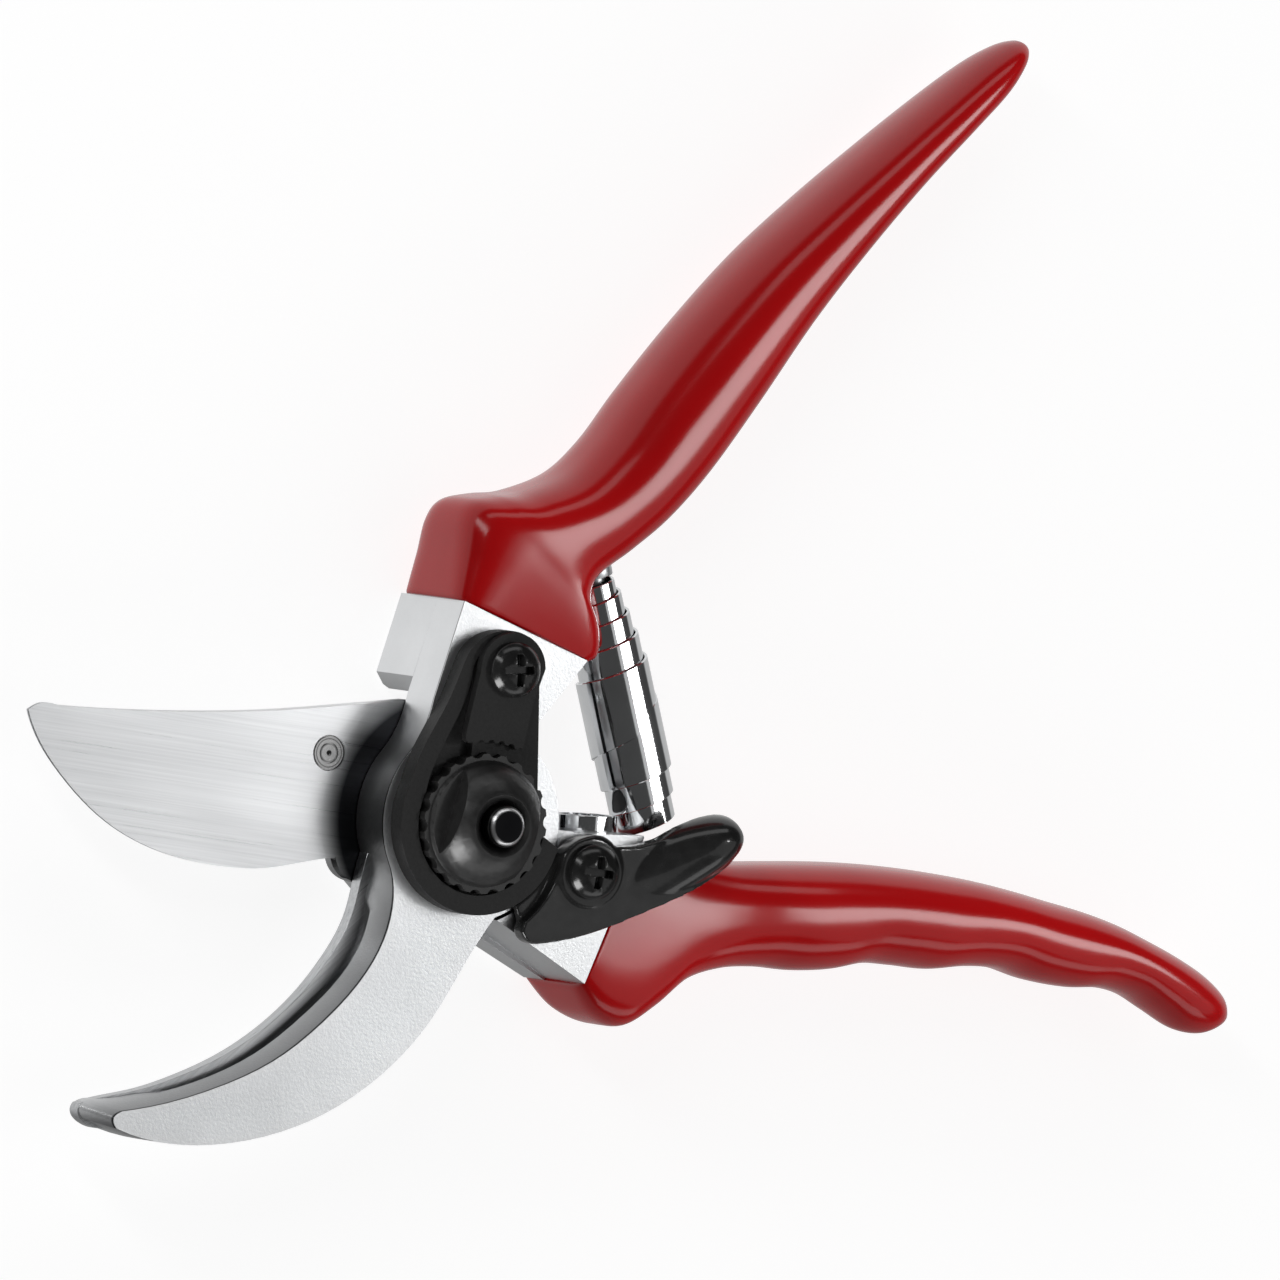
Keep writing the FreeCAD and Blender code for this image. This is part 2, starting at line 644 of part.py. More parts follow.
def blade_frame():
    """Back layer behind the blade, raised block and tang in one forging."""
    foot = polar(BLOCK_CLEAR_R, -63.5)
    raised = slab(foot, lower_block_steps(), BACK_TOP_Z - 1.0, FACE_Z)
    back_block = slab((4.4, -13.5), [("line", (9.0, 0.0))] + lower_block_steps()[1:], BACK_Z, BACK_TOP_Z)
    back_disc = disc(DISC_R, BACK_Z, BACK_TOP_Z)
    lobe_start = (-24.2, 4.6)
    lobe = slab(lobe_start, [
        ("arc", (-24.0, 8.9), (-20.0, 11.3)),
        ("curve", (-12.0, 11.2), (-6.0, 12.8)),
        ("line", (-6.0, -6.0)),
        ("curve", (-13.0, -5.2), (-18.5, 0.2), lobe_start),
    ], BACK_Z, BACK_TOP_Z)
    lobe = lobe.cut(blade_grind_room())
    body = raised.fuse([back_block, back_disc, lobe, lower_tang()])
    body = body.cut(disc(COUNTERBORE_R, BACK_Z - 1, COUNTERBORE_TOP_Z))
    body = body.cut(blade_holes())
    body = body.cut(disc(SCREW_R, FACE_Z - 9.0, FACE_Z, LATCH_SCREW))
    body = body.cut(bumper_pad_solid(0.0))
    body = body.cut(lower_seat_solid())
    return merged(body)


def blade_grind_room():
    """Room for the wedge ground off the back of the blade; the frame's lobe stays clear of it."""
    return slab((-40, -20), [("line", (-10.5, -20)), ("line", (-21.5, -3.4)), ("line", (-40, -3.4))],
                BACK_Z, BACK_TOP_Z)


def pivot_bush():
    """Bush pressed through frame and blade, running on the bolt's shoulder."""
    ring = disc(BUSH_R, COUNTERBORE_TOP_Z, BLADE_TOP_Z)
    return ring.cut(disc(SHOULDER_R + RUNNING_GAP, COUNTERBORE_TOP_Z, BLADE_TOP_Z))


def thrust_washer():
    """Steel washer in the counterbore above the bolt head."""
    ring = disc(WASHER_R, WASHER_Z, COUNTERBORE_TOP_Z)
    return ring.cut(disc(SHOULDER_R + 0.1, WASHER_Z, COUNTERBORE_TOP_Z))


def blade_rivet():
    """Flush rivet with a turned ring and a centre mark in its face."""
    body = disc(BLADE_RIVET_R, BACK_Z, BLADE_TOP_Z, BLADE_RIVET)
    for outer, inner in ((BLADE_RIVET_R, BLADE_RIVET_R - 0.25), (1.5, 1.3)):
        ring = disc(outer, BLADE_TOP_Z - RIVET_RING_D, BLADE_TOP_Z, BLADE_RIVET)
        body = body.cut(ring.cut(disc(inner, BLADE_TOP_Z - RIVET_RING_D, BLADE_TOP_Z, BLADE_RIVET)))
    return body.cut(disc(0.4, BLADE_TOP_Z - RIVET_RING_D, BLADE_TOP_Z, BLADE_RIVET))


def blade_pins():
    """Two dowel pins locating the blade on the frame."""
    return Part.makeCompound([disc(BLADE_PIN_R, BACK_Z, BLADE_TOP_Z, place) for place in blade_pin_places()])


def bumper_axis():
    angle = math.radians(90 + BUMPER_TILT)
    return vec(math.cos(angle), math.sin(angle), 0)


def bumper_pad_solid(inset):
    """Cylinder filled by the bumper: sunk part plus the part standing off the block."""
    axis = bumper_axis()
    base = vec(BUMPER[0], BUMPER[1], MID_Z) - axis * BUMPER_SUNK
    return Part.makeCylinder(BUMPER_R - inset, BUMPER_SUNK + BUMPER_TOP, base, axis)


def bumper_cup():
    """Bright metal cup, open on top, holding the cushion."""
    axis = bumper_axis()
    base = vec(BUMPER[0], BUMPER[1], MID_Z) - axis * BUMPER_SUNK
    hollow = Part.makeCylinder(BUMPER_R - 0.7, BUMPER_SUNK + BUMPER_TOP, base + axis * 0.8, axis)
    return bumper_pad_solid(0.0).cut(hollow)


def bumper_cushion():
    """Cushion disc inside the cup, with a low domed top."""
    axis = bumper_axis()
    base = vec(BUMPER[0], BUMPER[1], MID_Z) - axis * (BUMPER_SUNK - 0.8)
    height = BUMPER_SUNK + BUMPER_TOP - 0.8 - 0.5
    return Part.makeCylinder(BUMPER_R - 0.7, height, base, axis)


def lower_seat_solid():
    """Stud let into the lower frame, with the round seat under the spring's large end."""
    axis = vec(math.cos(math.radians(104)), math.sin(math.radians(104)), 0)
    seat = vec(LOWER_SEAT[0], LOWER_SEAT[1], MID_Z)
    stud = Part.makeCylinder(2.0, 8.0, seat - axis * 9.3, axis)
    collar = Part.makeCylinder(3.9, 2.4, seat - axis * 3.8, axis)
    return merged(stud.fuse(collar))


def lower_beyond():
    """Everything past the lower grip's lip."""
    steps = [("line", (28.0, 0.5)), ("line", (28.6, 3.0)), ("line", (160.0, 20.0)), ("line", (160.0, -60.0)),
             ("line", (20.6, -26.0))]
    return slab((22.0, -20.8), steps, -5.0, 30.0)


def lower_stations():
    """Collar, heel hook, finger grooves and drooping end of the blade half's grip."""
    return [
        ((28.0, 0.5), (22.0, -20.8), 8.7, 10.0, 7.0),
        ((31.4, -0.4), (26.2, -24.4), 8.7, 10.1, 5.0),
        ((35.4, -0.4), (31.2, -25.5), 8.7, 10.2, 3.9),
        ((38.8, -0.3), (35.7, -22.6), 8.7, 10.3, 3.2),
        ((42.6, -0.2), (40.6, -17.9), 8.75, 10.4, 2.8),
        ((47.0, 0.0), (46.6, -15.3), 9.2, 10.5, 2.5),
        ((53.0, 0.8), (52.6, -14.2), 10.0, 10.5, 2.4),
        ((59.0, 1.6), (58.8, -13.9), 10.5, 10.5, 2.4),
        ((64.5, 2.2), (64.5, -13.0), 10.5, 10.5, 2.4),
        ((70.0, 2.6), (70.0, -11.4), 10.4, 10.4, 2.3),
        ((75.5, 2.8), (75.5, -11.0), 10.3, 10.3, 2.3),
        ((81.0, 2.8), (81.0, -10.8), 10.1, 10.1, 2.3),
        ((87.0, 2.6), (87.0, -9.6), 9.9, 9.9, 2.3),
        ((93.0, 2.1), (92.6, -9.2), 9.6, 9.6, 2.3),
        ((99.0, 1.4), (98.4, -10.1), 9.3, 9.3, 2.3),
        ((105.0, 0.7), (104.4, -10.3), 8.9, 8.9, 2.3),
        ((110.5, -0.3), (110.0, -9.7), 8.4, 8.4, 2.2),
        ((115.5, -1.7), (115.0, -10.2), 7.9, 7.9, 2.2),
        ((121.0, -3.4), (119.6, -12.0), 7.2, 7.2, 2.2),
        ((126.2, -5.4), (123.9, -13.8), 6.2, 6.2, 2.1),
        ((130.0, -7.7), (127.6, -14.0), 4.7, 4.7, 2.0),
        ((131.5, -9.8), (130.4, -12.8), 2.5, 2.5, 2.0),
        ((131.8, -10.9), (131.5, -11.6), 0.8, 0.8, 2.0),
    ]


def spring_relief():
    """Hollow in the upper grip round the spring's small end."""
    axis = upper_seat_axis()
    seat = vec(UPPER_SEAT[0], UPPER_SEAT[1], MID_Z)
    return Part.makeCone(3.2, 5.6, 9.6, seat - axis * 0.2, axis)


# ---- safety latch, drawn with the blade half shut and the latch free ----

def latch_steps():
    """Steps of the latch's plan from the tongue's corner, along its lower edge to the thumb end."""
    return [
        ("line", (9.35, -12.9)),
        ("curve", (9.0, -14.2), (9.9, -15.3), (11.6, -15.7)),
        ("curve", (16.6, -14.4), (21.5, -12.5), (26.2, -10.1), (32.2, -6.9), (37.3, -3.7), (40.8, -0.5)),
        ("arc", (41.5, 3.3), (38.4, 5.8)),
        ("curve", (34.4, 4.6), (30.6, 2.3), (26.8, 0.6), (22.0, -0.3)),
        ("curve", (19.0, 0.9), (15.4, -0.6), (13.1, -3.2)),
        ("line", (8.0, -3.0)),
    ]


def latch_lever():
    """Lever with a thin tongue, a round boss and an upturned thumb end."""
    start = (8.2, -10.6)
    body = slab(start, latch_steps(), LATCH_Z, LATCH_TOP_Z)
    body = body.cut(disc(TONGUE_CLEAR_R, LATCH_Z - 1, LATCH_TOP_Z + 1))
    lock_x, lock_y = latch_lock_centre()
    body = body.cut(disc(LATCH_CLEAR_R, TONGUE_TOP_Z, LATCH_TOP_Z + 1, (lock_x, lock_y)))
    body = softened(body, 0.8, edges_at(LATCH_TOP_Z, lambda c: c.x > 9.0))
    body = body.fuse(disc(LATCH_BOSS_R, LATCH_Z, LATCH_BOSS_TOP_Z, LATCH_SCREW))
    body = body.fuse(thumb_end())
    body = body.cut(disc(LATCH_BORE_R, LATCH_Z - 1, LATCH_BOSS_TOP_Z + 1, LATCH_SCREW))
    return merged(body)


def latch_lock_centre():
    """Where the pivot axis lies in the latch's own frame once the latch is locked."""
    angle = math.radians(LATCH_ANGLE)
    dx = -LATCH_SCREW[0]
    dy = -LATCH_SCREW[1]
    x = LATCH_SCREW[0] + dx * math.cos(angle) - dy * math.sin(angle)
    y = LATCH_SCREW[1] + dx * math.sin(angle) + dy * math.cos(angle)
    return x, y


def thumb_end():
    """Raised, rounded lobe swelling up towards the latch's free end."""
    sections = []
    # each section: centre, half width, height above the latch's top face
    spine = [((24.2, -6.6), 3.4, 0.2), ((28.0, -4.4), 4.3, 1.0),
             ((31.6, -2.0), 4.55, 2.0), ((34.9, 0.3), 4.5, 3.1),
             ((37.6, 2.1), 4.1, 3.8), ((39.7, 3.5), 3.4, 3.4),
             ((41.2, 4.5), 2.2, 2.0)]
    direction = math.radians(THUMB_DIRECTION)
    side = vec(-math.sin(direction), math.cos(direction), 0)
    for middle, half_width, rise in spine:
        centre = vec(middle[0], middle[1], LATCH_Z + THUMB_ROOT)
        places = []
        for index in range(16):
            angle = 2 * math.pi * index / 16
            up = math.sin(angle)
            lift = (rise + THUMB_ROOT) * up if up > 0 else THUMB_ROOT * up
            places.append(centre + side * (half_width * math.cos(angle)) + vec(0, 0, lift))
        curve = Part.BSplineCurve()
        curve.interpolate(Points=places, PeriodicFlag=True)
        sections.append(Part.Wire([curve.toShape()]))
    return Part.makeLoft(sections, True, False)


def latch_washer():
    """Thin spring washer between the latch and the block."""
    ring = disc(LATCH_WASHER_R, FACE_Z, FACE_Z + LATCH_WASHER_T, LATCH_SCREW)
    return ring.cut(disc(LATCH_BORE_R, FACE_Z, FACE_Z + LATCH_WASHER_T, LATCH_SCREW))


# ---- double volute spring ----

def spring_ends():
    """World positions of the two spring ends with the shears open."""
    top = rotated_point(UPPER_SEAT, HALF_OPEN)
    bottom = rotated_point(LOWER_SEAT, -HALF_OPEN)
    return vec(top[0], top[1], MID_Z), vec(bottom[0], bottom[1], MID_Z)


def rotated_point(point, degrees):
    angle = math.radians(degrees)
    c = math.cos(angle)
    s = math.sin(angle)
    return (point[0] * c - point[1] * s, point[0] * s + point[1] * c)


def volute_spring():
    """Nested bands stepping out to one long middle band and in again, overlapping into one stack."""
    top, bottom = spring_ends()
    axis = (bottom - top)
    length = axis.Length
    axis.normalize()
    bands = len(SPRING_RADII)
    edges = [length * share for share in SPRING_STEPS]
    rings = []
    for index in range(bands):
        first = max(edges[index] - SPRING_LAP, 0.0)
        last = min(edges[index + 1] + SPRING_LAP, length)
        radius = SPRING_RADII[index]
        outer = Part.makeCylinder(radius, last - first, top + axis * first, axis)
        inner = Part.makeCylinder(radius - SPRING_BAND_T, last - first, top + axis * first, axis)
        rings.append(outer.cut(inner))
    return merged(rings[0].fuse(rings[1:]))


def write(name, shape):
    """One STEP file per piece."""
    if len(shape.Solids) == 1:
        shape = shape.Solids[0]
    shape.exportStep("parts/" + name + ".step")
    print(name, "valid" if shape.isValid() else "INVALID", len(shape.Solids), round(shape.Volume, 1))


def build():
    os.makedirs("parts", exist_ok=True)
    hook = trimmed_frame(hook_frame(), upper_stations(), upper_beyond())
    blade_half = trimmed_frame(blade_frame(), lower_stations(), lower_beyond())
    palm = grip_body(upper_stations()).cut(upper_seat_stud_solid()).cut(spring_relief())
    hook_pieces = {
        "hook_frame": hook,
        "upper_grip": closed_grip_cut(palm, hook),
        "counter_blade": counter_blade(),
        "counter_blade_rivets": counter_blade_rivets(),
        "upper_spring_seat": upper_seat_stud_solid(),
    }
    cover_pieces = {
        "cover_plate": cover_plate(),
        "lock_segment": lock_segment(),
        "segment_screw": cross_screw(SEGMENT_SCREW, SEGMENT_TOP_Z, FACE_Z - 8.0),
        "nut_washer": nut_washer(),
        "adjuster_nut": adjuster_nut(),
        "pivot_bolt": pivot_bolt(),
    }
    fingers = grip_body(lower_stations()).cut(lower_seat_solid()).cut(bumper_pad_solid(-0.3))
    blade_pieces = {
        "blade_frame": blade_half,
        "lower_grip": closed_grip_cut(fingers, blade_half),
        "cutting_blade": cutting_blade(),
        "blade_rivet": blade_rivet(),
        "blade_pins": blade_pins(),
        "pivot_bush": pivot_bush(),
        "thrust_washer": thrust_washer(),
        "bumper_cup": bumper_cup(),
        "bumper_cushion": bumper_cushion(),
        "lower_spring_seat": lower_seat_solid(),
        "latch_washer": latch_washer(),
        "latch_screw": cross_screw(LATCH_SCREW, LATCH_BOSS_TOP_Z + 0.2, FACE_Z - 9.0),
        "latch_lever": latch_lever(),
    }
    for name, shape in hook_pieces.items():
        write(name, turned(shape, HALF_OPEN))
    for name, shape in cover_pieces.items():
        write(name, turned(shape, COVER_TURN))
    for name, shape in blade_pieces.items():
        write(name, turned(shape, -HALF_OPEN))
    write("volute_spring", volute_spring())


build()
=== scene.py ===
import json
import math

import bpy
from mathutils import Matrix, Vector

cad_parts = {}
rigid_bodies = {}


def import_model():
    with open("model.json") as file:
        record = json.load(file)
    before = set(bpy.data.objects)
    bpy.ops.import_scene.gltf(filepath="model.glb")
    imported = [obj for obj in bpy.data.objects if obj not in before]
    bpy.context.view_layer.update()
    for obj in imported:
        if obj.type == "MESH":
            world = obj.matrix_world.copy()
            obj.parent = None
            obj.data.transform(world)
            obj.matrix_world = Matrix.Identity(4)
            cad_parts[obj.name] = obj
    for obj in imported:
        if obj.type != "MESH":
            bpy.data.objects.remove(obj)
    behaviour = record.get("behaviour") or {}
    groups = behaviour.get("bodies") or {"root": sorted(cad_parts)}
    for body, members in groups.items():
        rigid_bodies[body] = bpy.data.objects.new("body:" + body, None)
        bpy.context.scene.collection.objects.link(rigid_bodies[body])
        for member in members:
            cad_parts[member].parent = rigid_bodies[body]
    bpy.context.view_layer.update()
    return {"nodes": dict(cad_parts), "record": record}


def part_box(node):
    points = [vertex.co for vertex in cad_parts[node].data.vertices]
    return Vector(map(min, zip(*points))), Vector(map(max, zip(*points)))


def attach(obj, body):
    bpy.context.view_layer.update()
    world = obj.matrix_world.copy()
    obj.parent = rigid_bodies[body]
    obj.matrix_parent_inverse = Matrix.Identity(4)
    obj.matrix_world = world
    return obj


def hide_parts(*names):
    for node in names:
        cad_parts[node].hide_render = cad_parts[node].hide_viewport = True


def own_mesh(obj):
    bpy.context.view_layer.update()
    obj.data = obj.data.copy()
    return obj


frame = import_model()

MM = 0.001

# angle of each half from the shut position, with the shears open as at rest
HALF_OPEN_DEGREES = 23.75


# ---------- materials ----------

def new_material(name):
    """Material holding one shader and its output; returns (material, tree, shader)."""
    mat = bpy.data.materials.new(name)
    mat.use_nodes = True
    tree = mat.node_tree
    tree.nodes.clear()
    out = tree.nodes.new("ShaderNodeOutputMaterial")
    shader = tree.nodes.new("ShaderNodeBsdfPrincipled")
    tree.links.new(shader.outputs["BSDF"], out.inputs["Surface"])
    return mat, tree, shader


def position(tree, scale=(1, 1, 1), turn=0.0):
    """Object-space coordinates turned about Z and scaled, for patterns that run along a part."""
    coord = tree.nodes.new("ShaderNodeTexCoord")
    rotate = tree.nodes.new("ShaderNodeMapping")
    rotate.inputs["Rotation"].default_value = (0, 0, math.radians(turn))
    tree.links.new(coord.outputs["Object"], rotate.inputs["Vector"])
    stretch = tree.nodes.new("ShaderNodeMapping")
    stretch.inputs["Scale"].default_value = scale
    tree.links.new(rotate.outputs["Vector"], stretch.inputs["Vector"])
    return stretch.outputs["Vector"]


def noise(tree, vector, scale, detail=4.0, rough=0.55):
    made = tree.nodes.new("ShaderNodeTexNoise")
    made.inputs["Scale"].default_value = scale
    made.inputs["Detail"].default_value = detail
    made.inputs["Roughness"].default_value = rough
    tree.links.new(vector, made.inputs["Vector"])
    return made.outputs["Fac"]


def ramp(tree, source, stops):
    """Colour or value ramp from (place, (r, g, b)) stops."""
    made = tree.nodes.new("ShaderNodeValToRGB")
    elements = made.color_ramp.elements
    while len(elements) < len(stops):
        elements.new(0.5)
    for element, (place, colour) in zip(elements, stops):
        element.position = place
        element.color = (*colour, 1.0)
    tree.links.new(source, made.inputs["Fac"])
    return made.outputs["Color"]


def remap(tree, source, low, high, from_low=0.0, from_high=1.0):
    """Carries the range from_low..from_high to low..high, clamped."""
    made = tree.nodes.new("ShaderNodeMapRange")
    made.inputs["From Min"].default_value = from_low
    made.inputs["From Max"].default_value = from_high
    made.inputs["To Min"].default_value = low
    made.inputs["To Max"].default_value = high
    tree.links.new(source, made.inputs["Value"])
    return made.outputs["Result"]


def add_bump(tree, shader, height, strength, distance):
    bump = tree.nodes.new("ShaderNodeBump")
    bump.inputs["Strength"].default_value = strength
    bump.inputs["Distance"].default_value = distance
    tree.links.new(height, bump.inputs["Height"])
    tree.links.new(bump.outputs["Normal"], shader.inputs["Normal"])


def red_grip():
    """Glossy moulded plastic."""
    mat, tree, shader = new_material("red_grip")
    wide = noise(tree, position(tree), 35.0, 3.0)
    tree.links.new(ramp(tree, wide, [(0.3, (0.33, 0.001, 0.002)), (0.7, (0.38, 0.002, 0.003))]),
                   shader.inputs["Base Color"])
    fine = noise(tree, position(tree), 900.0, 3.0)
    tree.links.new(remap(tree, fine, 0.15, 0.21), shader.inputs["Roughness"])
    add_bump(tree, shader, noise(tree, position(tree), 260.0, 2.0), 0.03, 0.0003)
    shader.inputs["Specular IOR Level"].default_value = 0.36
    shader.inputs["IOR"].default_value = 1.5
    return mat


def satin_aluminium(name="satin_aluminium"):
    """Blasted aluminium with a fine sparkle."""
    mat, tree, shader = new_material(name)
    cloud = noise(tree, position(tree), 60.0, 4.0)
    tree.links.new(ramp(tree, cloud, [(0.3, (0.68, 0.69, 0.70)), (0.7, (0.78, 0.79, 0.80))]),
                   shader.inputs["Base Color"])
    grain = noise(tree, position(tree), 2600.0, 2.0, 0.7)
    tree.links.new(remap(tree, grain, 0.26, 0.44), shader.inputs["Roughness"])
    shader.inputs["Metallic"].default_value = 1.0
    add_bump(tree, shader, grain, 0.35, 0.00007)
    return mat


def distance_in_plan(tree, point):
    """Distance of an object-space point from the Z axis, metres."""
    flat = tree.nodes.new("ShaderNodeVectorMath")
    flat.operation = "MULTIPLY"
    flat.inputs[1].default_value = (1, 1, 0)
    tree.links.new(point, flat.inputs[0])
    length = tree.nodes.new("ShaderNodeVectorMath")
    length.operation = "LENGTH"
    tree.links.new(flat.outputs["Vector"], length.inputs[0])
    return length.outputs["Value"]


def pivot_distance(tree):
    """Distance from the pivot axis, metres."""
    coord = tree.nodes.new("ShaderNodeTexCoord")
    return distance_in_plan(tree, coord.outputs["Object"])


def shaded(tree, colour, factor, dark):
    """The colour multiplied towards dark where factor is 1."""
    mix = tree.nodes.new("ShaderNodeMix")
    mix.data_type = "RGBA"
    mix.blend_type = "MULTIPLY"
    tree.links.new(factor, mix.inputs["Factor"])
    tree.links.new(colour, mix.inputs["A"])
    mix.inputs["B"].default_value = (*dark, 1.0)
    return mix.outputs["Result"]


# distances from the pivot between which the painted shadow on the blade's root gives way to bright steel
ROOT_SHADOW_FULL_R = 0.0168
ROOT_SHADOW_END_R = 0.0198


def brushed_steel(name, turn, low, high, root=False):
    """Steel ground in fine lines along the part, with painted shadow darkening it near the pivot where
    root is set.
    """
    mat, tree, shader = new_material(name)
    along = position(tree, (26.0, 2600.0, 2600.0), turn)
    lines = noise(tree, along, 1.0, 4.0, 0.65)
    colour = ramp(tree, lines, [(0.3, low), (0.7, high)])
    cloud = noise(tree, position(tree, (18.0, 60.0, 60.0), turn), 1.0, 2.0)
    sweep = remap(tree, cloud, 0.22, 0.0, 0.38, 0.62)
    colour = shaded(tree, colour, sweep, (0.25, 0.25, 0.26))
    if root:
        # painted shadow: the blade's root within these distances of the pivot is multiplied dark to stand
        # in for shade
        near = remap(tree, pivot_distance(tree), 1.0, 0.0, ROOT_SHADOW_FULL_R, ROOT_SHADOW_END_R)
        colour = shaded(tree, colour, near, (0.05, 0.05, 0.055))
    tree.links.new(colour, shader.inputs["Base Color"])
    tree.links.new(remap(tree, lines, 0.22, 0.38), shader.inputs["Roughness"])
    shader.inputs["Metallic"].default_value = 1.0
    add_bump(tree, shader, lines, 0.10, 0.00004)
    return mat


# heights between which the hook's front layer rises, and the part of its plan where the wall carries
# painted shade
WALL_FOOT = 0.0136
WALL_CREASE = 0.0192
JAW_END_X = -0.002
BLOCK_START_X = 0.006


def hook_aluminium_painted_shade():
    """Satin aluminium whose sloping wall along the jaw is darkened by painted shade towards its foot,
    with a painted dark line of shade at its crease.
    """
    mat = satin_aluminium("hook_aluminium_painted_shade")
    tree = mat.node_tree
    shader = next(item for item in tree.nodes if item.type == "BSDF_PRINCIPLED")
    colour = shader.inputs["Base Color"].links[0].from_socket
    split = tree.nodes.new("ShaderNodeSeparateXYZ")
    tree.links.new(position(tree, (1.0, 1.0, 1.0), -HALF_OPEN_DEGREES), split.inputs["Vector"])
    height = remap(tree, split.outputs["Z"], 0.0, 1.0, WALL_FOOT, WALL_CREASE)
    jaw = remap(tree, split.outputs["X"], 1.0, 0.0, JAW_END_X, BLOCK_START_X)
    # painted shade: the wall along the jaw darkens towards its foot and most just under the crease
    painted_wall_shade = ramp(tree, height, [(0.0, (0.30,) * 3), (0.5, (0.55,) * 3), (0.90, (0.68,) * 3),
                               (0.915, (0.93,) * 3), (0.955, (0.93,) * 3), (0.972, (0.0,) * 3)])
    # painted shade: a dark line along the crease between the wall and the front face
    painted_crease_line = ramp(tree, height, [(0.92, (0.0,) * 3), (0.935, (0.75,) * 3),
                               (0.955, (0.75,) * 3), (0.972, (0.0,) * 3)])
    colour = shaded(tree, colour, multiplied(tree, painted_wall_shade, jaw), (0.03, 0.03, 0.032))
    colour = shaded(tree, colour, painted_crease_line, (0.05, 0.05, 0.052))
    tree.links.new(colour, shader.inputs["Base Color"])
    return mat


def multiplied(tree, first, second):
    product = tree.nodes.new("ShaderNodeMath")
    product.operation = "MULTIPLY"
    tree.links.new(first, product.inputs[0])
    tree.links.new(second, product.inputs[1])
    return product.outputs["Value"]


RIVET_R = 0.00262


def rivet_steel():
    """Turned steel about the blade rivet's own centre, with painted shade in dark rings for its ring
    grooves and a dark painted middle.
    """
    mat, tree, shader = new_material("rivet_steel")
    centre = rivet_centre()
    coord = tree.nodes.new("ShaderNodeTexCoord")
    moved = tree.nodes.new("ShaderNodeVectorMath")
    moved.operation = "SUBTRACT"
    moved.inputs[1].default_value = (centre[0], centre[1], 0.0)
    tree.links.new(coord.outputs["Object"], moved.inputs[0])
    radius = distance_in_plan(tree, moved.outputs["Vector"])
    # painted shade: dark rings stand for the shade in the ring grooves, with a dark middle
    stops = [(0.0, (0.03,) * 3), (0.10, (0.03,) * 3), (0.16, (0.62,) * 3), (0.42, (0.68,) * 3),
             (0.47, (0.28,) * 3), (0.52, (0.66,) * 3), (0.72, (0.70,) * 3), (0.76, (0.10,) * 3),
             (0.81, (0.66,) * 3), (0.92, (0.66,) * 3), (0.95, (0.02,) * 3), (1.0, (0.02,) * 3)]
    tree.links.new(ramp(tree, remap(tree, radius, 0.0, 1.0, 0.0, RIVET_R), stops),
                   shader.inputs["Base Color"])
    tree.links.new(remap(tree, noise(tree, position(tree), 900.0), 0.2, 0.35), shader.inputs["Roughness"])
    shader.inputs["Metallic"].default_value = 1.0
    return mat


def rivet_centre():
    """Middle of the blade rivet at rest."""
    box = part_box("blade_rivet")
    return [(low + high) / 2 for low, high in zip(box[0], box[1])]


def plain_steel():
    """Turned steel of the small hidden and half-hidden pieces."""
    mat, tree, shader = new_material("plain_steel")
    lines = noise(tree, position(tree), 500.0, 4.0)
    tree.links.new(ramp(tree, lines, [(0.3, (0.45, 0.46, 0.47)), (0.7, (0.6, 0.61, 0.62))]),
                   shader.inputs["Base Color"])
    tree.links.new(remap(tree, lines, 0.25, 0.4), shader.inputs["Roughness"])
    shader.inputs["Metallic"].default_value = 1.0
    return mat


def black(name, rough_low, rough_high, grain_scale, bump, level, coat=0.0, gloss=0.25):
    """Black plastic, paint or rubber of a given grain."""
    mat, tree, shader = new_material(name)
    grain = noise(tree, position(tree), grain_scale, 3.0, 0.6)
    tree.links.new(ramp(tree, grain, [(0.3, (level * 0.8,) * 3), (0.7, (level * 1.3,) * 3)]),
                   shader.inputs["Base Color"])
    tree.links.new(remap(tree, grain, rough_low, rough_high), shader.inputs["Roughness"])
    if bump:
        add_bump(tree, shader, grain, bump, 0.0001)
    shader.inputs["Specular IOR Level"].default_value = gloss
    shader.inputs["Coat Weight"].default_value = coat
    shader.inputs["Coat Roughness"].default_value = 0.08
    return mat


BOLT_REACH = 0.010


def bolt_steel():
    """Blackened thread end with a bright turned ring; plain steel further from the axis."""
    mat, tree, shader = new_material("bolt_steel")
    stops = [(0.0, (0.010, 0.010, 0.011)), (0.215, (0.012, 0.012, 0.013)), (0.235, (0.75, 0.75, 0.76)),
             (0.255, (0.7, 0.7, 0.71)), (0.275, (0.02, 0.02, 0.02)), (0.34, (0.02, 0.02, 0.02)),
             (0.36, (0.5, 0.51, 0.52)), (1.0, (0.55, 0.56, 0.57))]
    tree.links.new(ramp(tree, remap(tree, pivot_distance(tree), 0.0, 1.0, 0.0, BOLT_REACH), stops),
                   shader.inputs["Base Color"])
    tree.links.new(remap(tree, noise(tree, position(tree), 700.0), 0.25, 0.4), shader.inputs["Roughness"])
    shader.inputs["Metallic"].default_value = 1.0
    return mat


def chrome():
    """Bright plating of the spring, its seats and the bumper's cup."""
    mat, tree, shader = new_material("chrome")
    streak = noise(tree, position(tree), 140.0, 3.0)
    tree.links.new(ramp(tree, streak, [(0.3, (0.62, 0.63, 0.64)), (0.7, (0.72, 0.73, 0.74))]),
                   shader.inputs["Base Color"])
    tree.links.new(remap(tree, streak, 0.05, 0.12), shader.inputs["Roughness"])
    shader.inputs["Metallic"].default_value = 1.0
    return mat


